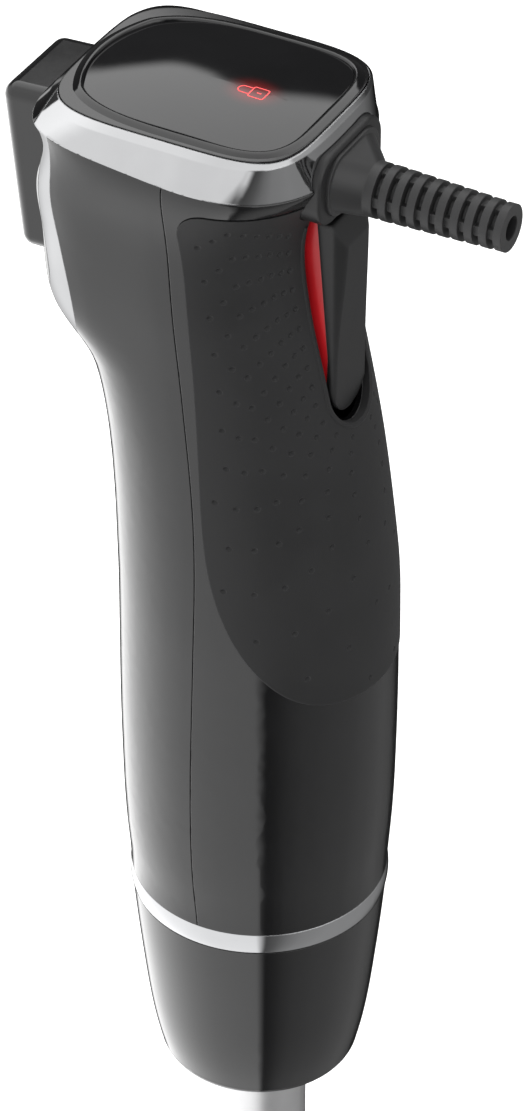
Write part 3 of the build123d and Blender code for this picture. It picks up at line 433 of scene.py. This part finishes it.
def dimple_cutters():
    """One object with a ball for every dimple."""
    mesh = bpy.data.meshes.new("dimple_cutters")
    cutters = bmesh.new()
    for centre in dimple_centres:
        made = bmesh.ops.create_icosphere(cutters, subdivisions=BALL_DETAIL, radius=DIMPLE_RADIUS)
        bmesh.ops.translate(cutters, verts=made["verts"], vec=centre)
    cutters.to_mesh(mesh)
    cutters.free()
    piece = bpy.data.objects.new("dimple_cutters", mesh)
    scene.collection.objects.link(piece)
    return piece


def make_grip():
    """The grip with the dimples cut out of it."""
    mesh = nodes["grip_overmould"].data.copy()
    welded = bmesh.new()
    welded.from_mesh(mesh)
    bmesh.ops.remove_doubles(welded, verts=welded.verts, dist=SAME_PLACE)
    welded.to_mesh(mesh)
    welded.free()
    piece = bpy.data.objects.new("grip_skin", mesh)
    scene.collection.objects.link(piece)
    cutters = dimple_cutters()
    cut = piece.modifiers.new("dimples", "BOOLEAN")
    cut.operation = "DIFFERENCE"
    cut.solver = "MANIFOLD"
    cut.object = cutters
    graph = bpy.context.evaluated_depsgraph_get()
    piece.data = bpy.data.meshes.new_from_object(piece.evaluated_get(graph), depsgraph=graph)
    piece.modifiers.clear()
    bpy.data.objects.remove(cutters)
    return piece


NO_AREA = 1e-24
ON_BALL, TOWARDS_BALL = 0.06, 0.9
INWARD = 0.02


def barycentric(point, a, b, c):
    """Shares of three corners at a point of their triangle."""
    ab, ac, ap = b - a, c - a, point - a
    d00, d01, d11 = ab.dot(ab), ab.dot(ac), ac.dot(ac)
    d20, d21 = ap.dot(ab), ap.dot(ac)
    area = d00 * d11 - d01 * d01
    if abs(area) < NO_AREA:
        return 1.0, 0.0, 0.0
    v, w = (d11 * d20 - d01 * d21) / area, (d00 * d21 - d01 * d20) / area
    return 1.0 - v - w, v, w


def carry_normals(piece, centres):
    """Shades the cut grip as the CAD surface is shaded, and each dimple as the ball that made it."""
    source = nodes["grip_overmould"].data
    search = surface_tree("grip_overmould")
    balls = KDTree(len(centres))
    for i, centre in enumerate(centres):
        balls.insert(centre, i)
    balls.balance()
    source_normals = [Vector(n.vector) for n in source.corner_normals]
    mesh = piece.data
    normals = [Vector((0, 0, 1))] * len(mesh.loops)
    for face in mesh.polygons:
        middle = face.center
        centre, _, away = balls.find(middle)
        inside = abs(away - DIMPLE_RADIUS) < DIMPLE_RADIUS * ON_BALL
        toward_ball = (centre - middle).normalized().dot(face.normal) > TOWARDS_BALL
        for loop in face.loop_indices:
            point = mesh.vertices[mesh.loops[loop].vertex_index].co
            if inside and toward_ball:
                normals[loop] = (centre - point).normalized()
                continue
            probe = point.lerp(middle, INWARD)
            _, _, index, _ = search.find_nearest(probe)
            old = source.polygons[index]
            corners = [source.vertices[v].co for v in old.vertices[:3]]
            shares = barycentric(probe, *corners)
            loops = list(old.loop_indices)[:3]
            mixed = sum((source_normals[i] * share for i, share in zip(loops, shares)), Vector())
            normals[loop] = mixed.normalized() if mixed.dot(face.normal) > 0 else face.normal.copy()
    mesh.normals_split_custom_set(normals)


grip = make_grip()
grip.data.materials.clear()
grip.data.materials.append(materials["grip_soft"])
grip.data.polygons.foreach_set("use_smooth", [True] * len(grip.data.polygons))
carry_normals(grip, dimple_centres)
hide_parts("grip_overmould")
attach(grip, "housing")


# ---- Raised rim round the trigger slot -----------------------------------------------------------
RIM_HALF_WIDTH, RIM_ROUND_H, RIM_TOP_H = 8.95, 135.0, 176.0
RIM_RADIUS, RIM_SINK = 0.55 * MM, 0.22 * MM
RIM_STEP, RIM_STEPS, RIM_ARC_STEPS = 2.0, 21, 32


def make_slot_rim():
    """Round bar half sunk in the grip: down one side of the slot, round its end and up again."""
    heights = [RIM_TOP_H - RIM_STEP * step for step in range(RIM_STEPS)]
    side = [(RIM_HALF_WIDTH, height) for height in heights if height > RIM_ROUND_H]
    turns = [pi * step / RIM_ARC_STEPS for step in range(RIM_ARC_STEPS + 1)]
    end = [(RIM_HALF_WIDTH * cos(turn), RIM_ROUND_H - RIM_HALF_WIDTH * sin(turn)) for turn in turns]
    other_side = [(-y, height) for y, height in reversed(side)]
    path = []
    for y, height in side + end + other_side:
        start = Vector((RAY_START, y * MM, up(height)))
        place, normal, _, _ = grip_surface.ray_cast(start, Vector((-1, 0, 0)))
        if place is not None:
            path.append(place - normal * RIM_SINK)
    return new_piece("slot_rim", *tube(path, RIM_RADIUS), materials["grip_soft"])


slot_rim = make_slot_rim()
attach(slot_rim, "housing")


# ---- Lock symbol on the lens ---------------------------------------------------------------------
# Plan measures in millimetres: the padlock lies along x, its shackle towards the back.
INK_LIFT = 0.015 * MM
STROKE, KEYHOLE_STROKE = 0.26, 0.34
LOCK_MIDDLE_Y = -0.9
LOCK_LEFT, LOCK_RIGHT, LOCK_HALF, LOCK_CORNER = -1.3, 2.1, 1.8, 0.45
SHACKLE_X, SHACKLE_RADIUS, SHACKLE_STEPS = -3.0, 1.15, 12
KEYHOLE_ENDS = (0.0, 1.0)
CORNER_STEPS = 6
LOCK_RED, LOCK_POWER = (1.0, 0.07, 0.07, 1), 0.34
lens_surface = surface_tree("display_lens")


def lens_height(x, y):
    place, _, _, _ = lens_surface.ray_cast(Vector((x, y, 1.0)), Vector((0, 0, -1)))
    return place.z + INK_LIFT


def ribbon(points, width, closed):
    """Flat strip of even width along a plan outline, laid on the lens."""
    count = len(points)
    vertices, faces = [], []
    for i, (x, y) in enumerate(points):
        before = points[(i - 1) % count] if closed or i else points[0]
        after = points[(i + 1) % count] if closed or i < count - 1 else points[-1]
        dx, dy = after[0] - before[0], after[1] - before[1]
        size = sqrt(dx * dx + dy * dy)
        for side in (0.5, -0.5):
            px, py = (x - dy / size * width * side) * MM, (y + dx / size * width * side) * MM
            vertices.append((px, py, lens_height(px, py)))
    for i in range(count if closed else count - 1):
        a, b = 2 * i, 2 * ((i + 1) % count)
        faces.append((a, b, b + 1, a + 1))
    return vertices, faces


def rounded_box(x0, x1, y0, y1, corner):
    points = []
    corners = ((x1 - corner, y1 - corner, 0), (x0 + corner, y1 - corner, 90),
               (x0 + corner, y0 + corner, 180), (x1 - corner, y0 + corner, 270))
    for cx, cy, start in corners:
        for step in range(CORNER_STEPS + 1):
            turn = radians(start + 90 * step / CORNER_STEPS)
            points.append((cx + corner * cos(turn), cy + corner * sin(turn)))
    return points


def make_lock_symbol():
    middle = LOCK_MIDDLE_Y
    body = rounded_box(LOCK_LEFT, LOCK_RIGHT, middle - LOCK_HALF, middle + LOCK_HALF, LOCK_CORNER)
    shackle = [(LOCK_LEFT, middle + SHACKLE_RADIUS)]
    for step in range(SHACKLE_STEPS + 1):
        turn = pi * step / SHACKLE_STEPS
        shackle.append((SHACKLE_X - SHACKLE_RADIUS * sin(turn), middle + SHACKLE_RADIUS * cos(turn)))
    shackle.append((LOCK_LEFT, middle - SHACKLE_RADIUS))
    keyhole = [(x, middle) for x in KEYHOLE_ENDS]
    lines = ((body, STROKE, True), (shackle, STROKE, False), (keyhole, KEYHOLE_STROKE, False))
    vertices, faces = [], []
    for points, width, closed in lines:
        more, strips = ribbon(points, width, closed)
        faces += [tuple(i + len(vertices) for i in strip) for strip in strips]
        vertices += more
    paint = light_material("lock_symbol", LOCK_RED, LOCK_POWER)
    return new_piece("lock_symbol", vertices, faces, paint)


lock_symbol = make_lock_symbol()
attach(lock_symbol, "housing")


# ---- Raised lip of the frame round the lens ------------------------------------------------------
# The section runs outwards from the lens, as (distance from its edge, height above the ring) in mm.
LIP_STEPS = 128
LENS_EDGE_H, LIP_RAY_START = 197.2, 0.06
LIP_SECTION = [(0.10, 197.0), (0.14, 197.55), (0.30, 197.82), (0.62, 197.95), (1.0, 197.9),
               (1.45, 197.72), (1.85, 197.52), (2.2, 197.36), (2.5, 197.2)]


def make_lip():
    middle = sum(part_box("display_lens"), Vector()) / 2
    edge = []
    for step in range(LIP_STEPS):
        turn = 2 * pi * step / LIP_STEPS
        outward = Vector((cos(turn), sin(turn), 0))
        start = Vector((middle.x, middle.y, up(LENS_EDGE_H))) + outward * LIP_RAY_START
        place, _, _, _ = lens_surface.ray_cast(start, -outward)
        edge.append(place)
    vertices, faces = [], []
    for i, point in enumerate(edge):
        ahead = edge[(i + 1) % LIP_STEPS] - edge[i - 1]
        outward = Vector((ahead.y, -ahead.x, 0)).normalized()
        for offset, height in LIP_SECTION:
            spot = point + outward * offset * MM
            vertices.append((spot.x, spot.y, up(height)))
    rows = len(LIP_SECTION)
    for i in range(LIP_STEPS):
        for j in range(rows - 1):
            a, b = i * rows + j, ((i + 1) % LIP_STEPS) * rows + j
            faces.append((a, a + 1, b + 1, b))
    return new_piece("lens_lip", vertices, faces, materials["frame_gloss"])


lens_lip = make_lip()
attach(lens_lip, "housing")


# ---- Rounded edges on CAD pieces that are seen close up ------------------------------------------
WELD_GAP, EDGE_ANGLE = 1e-6, 35


def soften(name, width, segments):
    node = nodes[name]
    weld = node.modifiers.new("weld", "WELD")
    weld.merge_threshold = WELD_GAP
    bevel = node.modifiers.new("round_edges", "BEVEL")
    bevel.width = width
    bevel.segments = segments
    bevel.limit_method = "ANGLE"
    bevel.angle_limit = radians(EDGE_ANGLE)
    even = node.modifiers.new("even_normals", "WEIGHTED_NORMAL")
    even.keep_sharp = True


soften("strain_relief", 0.22 * MM, 2)
soften("trigger_cap", 0.6 * MM, 4)


# ---- Floor ---------------------------------------------------------------------------------------
FLOOR_RADIUS, FLOOR_CORNERS, FLOOR_GAP = 6.0, 24, 0.0002
FLOOR_PAINT, FLOOR_GLOW = (0.92, 0.92, 0.92, 1), 0.35


def make_floor():
    low = cad_low.z - FLOOR_GAP
    turns = [2 * pi * step / FLOOR_CORNERS for step in range(FLOOR_CORNERS)]
    outline = [(FLOOR_RADIUS * cos(turn), FLOOR_RADIUS * sin(turn), low) for turn in turns]
    material, paint = new_material("floor")
    speckle = paint.add("ShaderNodeTexNoise", {}, Scale=40.0, Detail=2.0).outputs[0]
    paper = paint.add("ShaderNodeBsdfPrincipled", {}, Base_Color=FLOOR_PAINT,
                      Roughness=paint.span(speckle, 0, 1, 0.85, 0.95), Specular_IOR_Level=0.0)
    paper.inputs["Emission Color"].default_value = (1, 1, 1, 1)
    paper.inputs["Emission Strength"].default_value = FLOOR_GLOW
    paint.set(paint.add("ShaderNodeOutputMaterial"), "Surface", paper.outputs[0])
    return new_piece("floor", outline, [tuple(range(FLOOR_CORNERS))], material, smooth=False)


floor = make_floor()
floor.visible_glossy = False


# ---- Studio --------------------------------------------------------------------------------------
# Light levels round the circle, as (degrees to the right of the camera's side, level). Reflections
# see LOW_LIGHT below the horizon, HIGH_LIGHT above it, and the ceiling higher up, which behind the
# object is a panel with a slanted lower edge. The rest of the light from the room is even.
LOW_LIGHT = [(-180, 0.02), (-165, 0.03), (-155, 2.4), (-140, 2.6), (-108, 2.3), (-77, 1.93),
             (-52, 1.75), (-3, 1.65), (5, 0.12), (14, 0.2), (24, 0.34), (36, 0.45), (60, 0.51),
             (97, 0.47), (122, 0.38), (140, 0.2), (156, 0.03), (180, 0.02)]
HIGH_LIGHT = [(-180, 0.1), (-140, 0.1), (-118, 1.6), (-10, 1.66), (0, 0.3), (14, 0.25), (26, 2.6),
              (60, 2.8), (84, 0.8), (112, 0.8), (124, 0.1), (180, 0.1)]
CEILING, CEILING_NEAR = 2.4, 1.72
EVEN_LIGHT = 0.75
HORIZON_LOW, HORIZON_HIGH = -0.12, 0.0
BEHIND_FROM, BEHIND_TO = -0.6, -0.4
PANEL_LEFT, PANEL_RIGHT, PANEL_LOW, PANEL_HIGH = -0.06, 0.035, 0.479, 0.554
PANEL_BLUR = 0.014
OVERHEAD_LOW, OVERHEAD_HIGH = 0.56, 0.64
NEAR_FROM, NEAR_TO = -0.35, 0.0


def crossfade(sky, share, first, second):
    """The first level where share is 0, and the second where it is 1."""
    kept = sky.math("MULTIPLY", first, sky.math("SUBTRACT", 1.0, share))
    return sky.math("ADD", kept, sky.math("MULTIPLY", second, share))


def make_world():
    world = bpy.data.worlds.new("studio")
    world.use_nodes = True
    sky = Tree(world.node_tree)
    direction = sky.add("ShaderNodeTexCoord").outputs["Generated"]
    towards = sky.vector("DOT_PRODUCT", direction, near_side, "Value")
    sideways = sky.vector("DOT_PRODUCT", direction, right_side, "Value")
    rise = sky.add("ShaderNodeSeparateXYZ", {}, Vector=direction).outputs["Z"]
    round_share = sky.math("MULTIPLY", sky.math("ARCTAN2", sideways, towards), 1 / (2 * pi))
    round_share = sky.math("ADD", round_share, 0.5)
    low = sky.ramp(round_share, LOW_LIGHT)
    high = sky.ramp(round_share, HIGH_LIGHT)
    walls = crossfade(sky, sky.span(rise, HORIZON_LOW, HORIZON_HIGH, 0.0, 1.0), low, high)
    panel_edge = sky.span(sideways, PANEL_LEFT, PANEL_RIGHT, PANEL_LOW, PANEL_HIGH)
    panel = sky.span(sky.math("SUBTRACT", rise, panel_edge), -PANEL_BLUR, PANEL_BLUR, 0.0, 1.0)
    overhead = sky.span(rise, OVERHEAD_LOW, OVERHEAD_HIGH, 0.0, 1.0)
    above = crossfade(sky, sky.span(towards, BEHIND_FROM, BEHIND_TO, 1.0, 0.0), overhead, panel)
    ceiling = sky.span(towards, NEAR_FROM, NEAR_TO, CEILING, CEILING_NEAR)
    seen = crossfade(sky, above, walls, ceiling)
    reflected = sky.add("ShaderNodeLightPath").outputs["Is Glossy Ray"]
    level = crossfade(sky, reflected, EVEN_LIGHT, seen)
    backdrop = sky.add("ShaderNodeBackground", {}, Color=(1, 1, 1, 1), Strength=level)
    sky.set(sky.add("ShaderNodeOutputWorld"), "Surface", backdrop.outputs[0])
    return world


scene.world = make_world()

# name, place, target, size, power
LAMPS = [("key_light", (-0.9, -1.1, 1.5), (0, 0, 0.25), (0.9, 0.9), 16.0),
         ("fill_light", (1.2, -0.6, 1.2), (0, 0, 0.25), (0.9, 0.9), 6.0),
         ("back_light", (-0.3, 1.3, 1.5), (0, 0.3, 0.0), (1.6, 1.2), 14.0)]


def soft_light(name, place, target, size, power):
    lamp = bpy.data.lights.new(name, "AREA")
    lamp.shape = "RECTANGLE"
    lamp.size, lamp.size_y = size
    lamp.energy = power
    holder = bpy.data.objects.new(name, lamp)
    scene.collection.objects.link(holder)
    holder.location = place
    holder.rotation_mode = "QUATERNION"
    holder.rotation_quaternion = (Vector(target) - Vector(place)).to_track_quat("-Z", "Y")
    holder.visible_glossy = False


for lamp_settings in LAMPS:
    soft_light(*lamp_settings)
